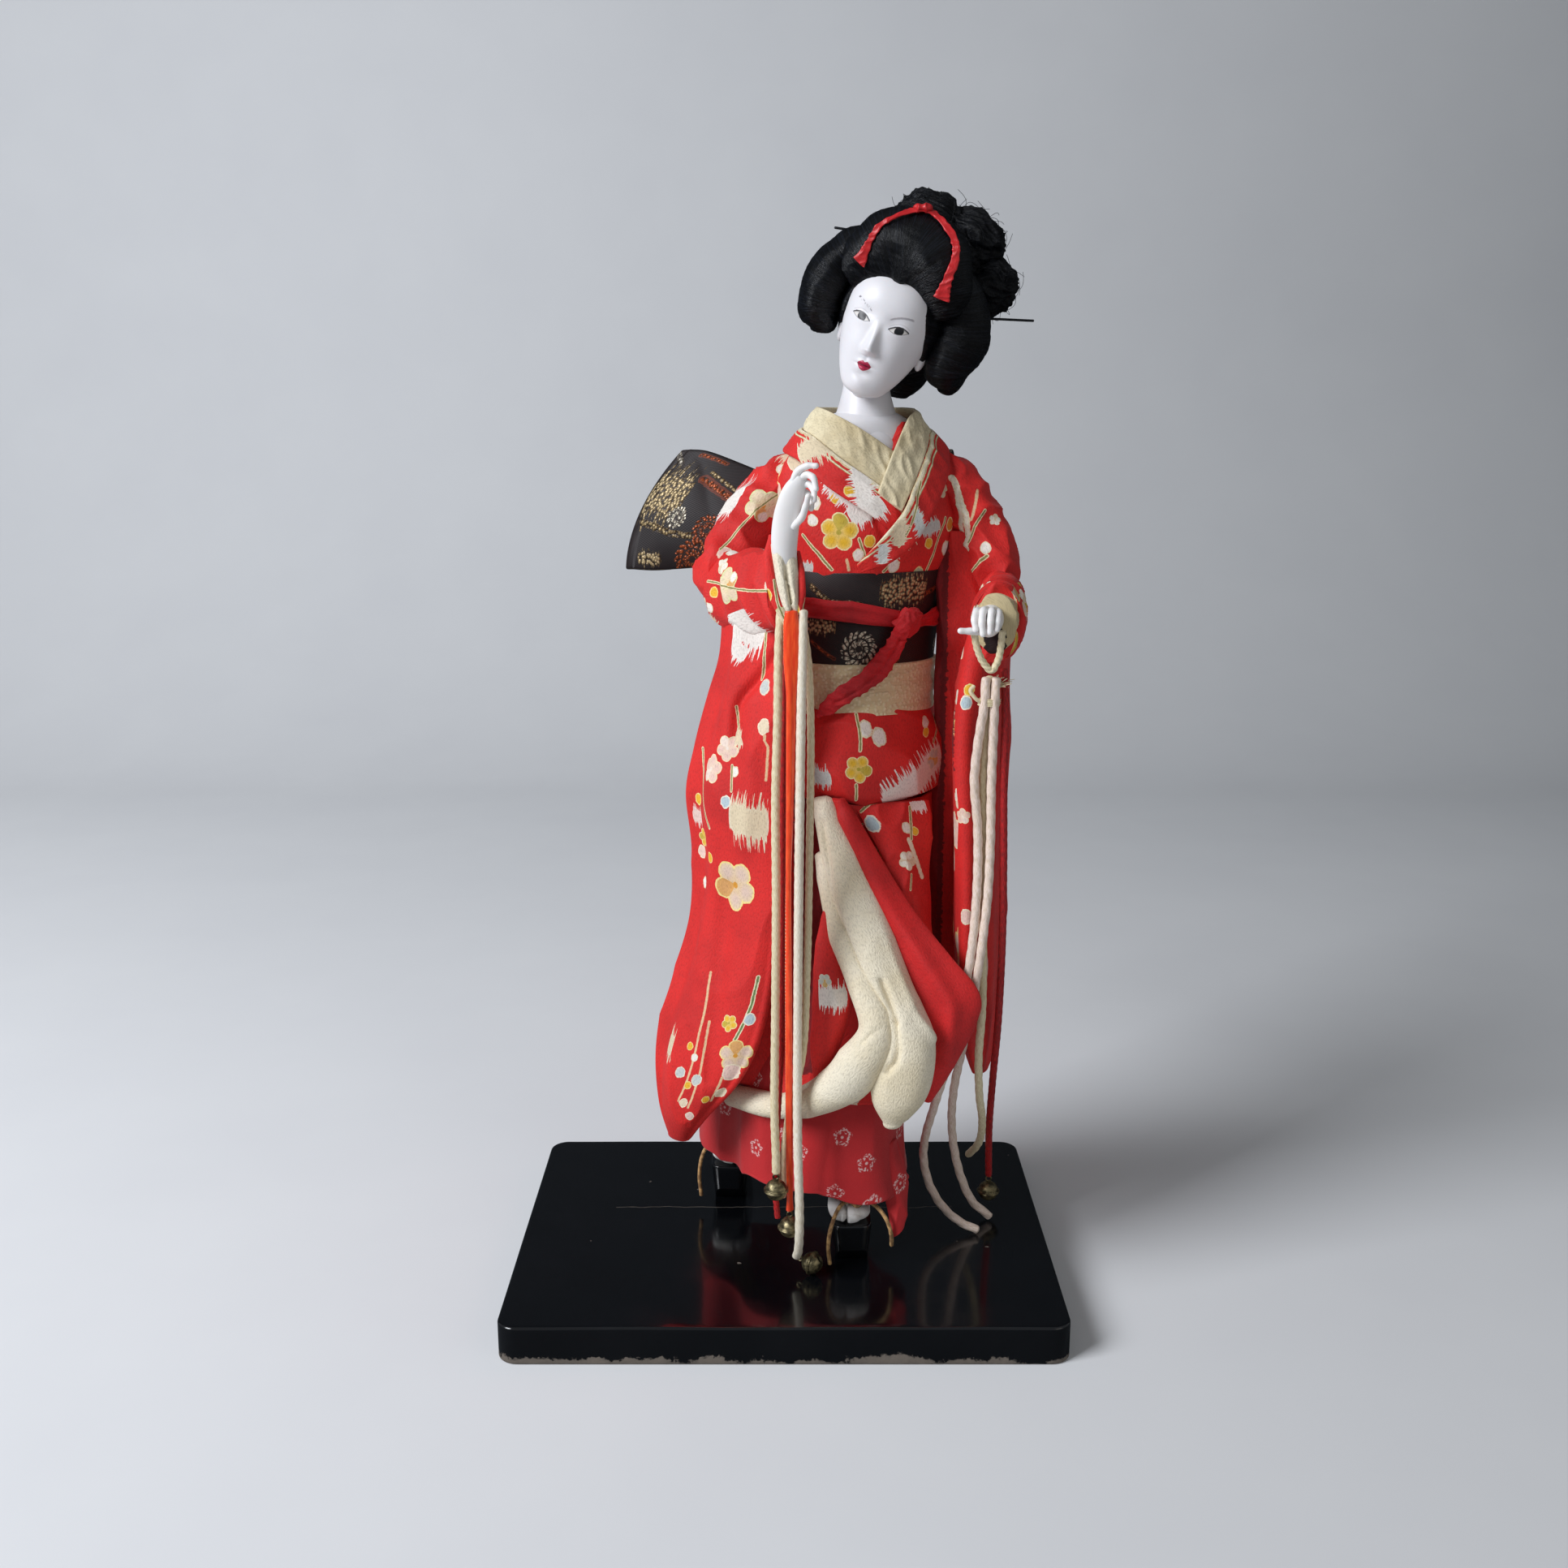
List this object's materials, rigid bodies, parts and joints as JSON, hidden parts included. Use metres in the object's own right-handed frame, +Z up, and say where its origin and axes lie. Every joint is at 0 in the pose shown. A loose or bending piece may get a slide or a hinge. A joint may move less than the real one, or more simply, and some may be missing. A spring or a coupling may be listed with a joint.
{
  "type": "japanese doll",
  "caption": "Dancing lady doll in a layered red robe with a large back bow, holding bundles of cords with small bells, standing in clogs on a lacquered board.",
  "frame": {"origin": "centre of the board's underside", "axes": "+Z up, -Y the way the doll faces, +X towards the doll's left hand"},
  "size_m": [0.225, 0.167, 0.4469],
  "materials": {
    "black_lacquer": "glossy black lacquer over wood",
    "cotton_sock": "matt white cotton",
    "gold_cord": "twisted gold and tan thread",
    "steel_rod": "plain drawn steel",
    "peg_wood": "bare turned wood",
    "shell_white": "shell-white coating, lightly polished",
    "black_hair": "combed black silk thread",
    "dark_metal": "dark worn steel",
    "hair_ribbon_silk": "red silk crepe",
    "straw": "bundled straw",
    "old_brass": "tarnished",
    "cream_cord": "soft padded cord",
    "white_cord": "soft padded cord",
    "orange_ribbon": "satin",
    "red_cord": "soft padded cord",
    "deep_red_crepe": "tie-dyed red crepe",
    "red_crepe": "printed red crepe",
    "cream_crepe": "plain cream crepe",
    "sash_silk": "crinkled cream silk",
    "brocade": "brown-black brocade with gold and rust"
  },
  "bodies": {
    "figure_on_board": {"base_board": "black_lacquer", "clog_right": "black_lacquer", "clog_left": "black_lacquer", "support_rod_right": "steel_rod", "support_rod_left": "steel_rod", "foot_right": "cotton_sock", "foot_left": "cotton_sock", "thong_left": "gold_cord", "thong_right": "gold_cord", "arm_wire": "steel_rod", "body_core": "straw", "hand_right": "shell_white", "hand_left": "shell_white", "cord_right_cream": "cream_cord", "cord_right_ribbon": "orange_ribbon", "cord_right_white": "white_cord", "cord_right_back": "cream_cord", "cord_right_red": "red_cord", "cord_left_long": "cream_cord", "cord_left_mid": "cream_cord", "cord_left_short": "cream_cord", "cord_left_red": "red_cord", "cord_left_loop": "cream_cord", "cord_left_binding": "white_cord", "underskirt": "deep_red_crepe", "robe_lining": "cream_crepe", "robe_skirt": "red_crepe", "red_panel": "deep_red_crepe", "small_flap": "deep_red_crepe", "obi": "brocade", "waist_sash": "sash_silk", "hip_fold": "red_crepe", "obi_cord": "red_cord", "bodice": "red_crepe", "collar_cream": "cream_crepe", "collar_robe": "red_crepe", "cuff_lining_right": "cream_crepe", "sleeve_right": "red_crepe", "sleeve_right_hang": "red_crepe", "cuff_lining_left": "cream_crepe", "sleeve_left": "red_crepe", "sleeve_left_hang": "red_crepe", "obi_bow": "brocade"},
    "head": {"head": "shell_white", "neck_peg": "peg_wood", "hair_cap": "black_hair", "hair_wing_right": "black_hair", "hair_wing_left": "black_hair", "hair_bun": "black_hair", "hair_ribbon": "hair_ribbon_silk", "hairpin_right": "dark_metal", "hairpin_left": "dark_metal"},
    "bell_a": {"bell_a": "old_brass", "pellet_a": "old_brass"},
    "bell_b": {"bell_b": "old_brass", "pellet_b": "old_brass"},
    "bell_c": {"bell_c": "old_brass", "pellet_c": "old_brass"},
    "bell_left": {"bell_left": "old_brass", "pellet_left": "old_brass"}
  },
  "joints": [
    {"name": "head_turn", "type": "hinge", "parent": "figure_on_board", "child": "head", "pos_m": [0.0325, 0.01, 0.345], "axis": [0, 0, 1], "range_deg": [-12, 12]},
    {"name": "bell_a_swing", "type": "hinge", "parent": "figure_on_board", "child": "bell_a", "pos_m": [-0.0032, -0.05, 0.0632], "axis": [1, 0, 0], "range_deg": [-25, 5]},
    {"name": "bell_b_swing", "type": "hinge", "parent": "figure_on_board", "child": "bell_b", "pos_m": [0.0024, -0.044, 0.0437], "axis": [1, 0, 0], "range_deg": [-2, 22]},
    {"name": "bell_c_swing", "type": "hinge", "parent": "figure_on_board", "child": "bell_c", "pos_m": [0.0066, -0.0404, 0.022], "axis": [0, 0, 1], "range_deg": [-12, 20]},
    {"name": "bell_left_swing", "type": "hinge", "parent": "figure_on_board", "child": "bell_left", "pos_m": [0.0906, 0.012, 0.0316], "axis": [1, 0, 0], "range_deg": [-25, 25]}
  ]
}
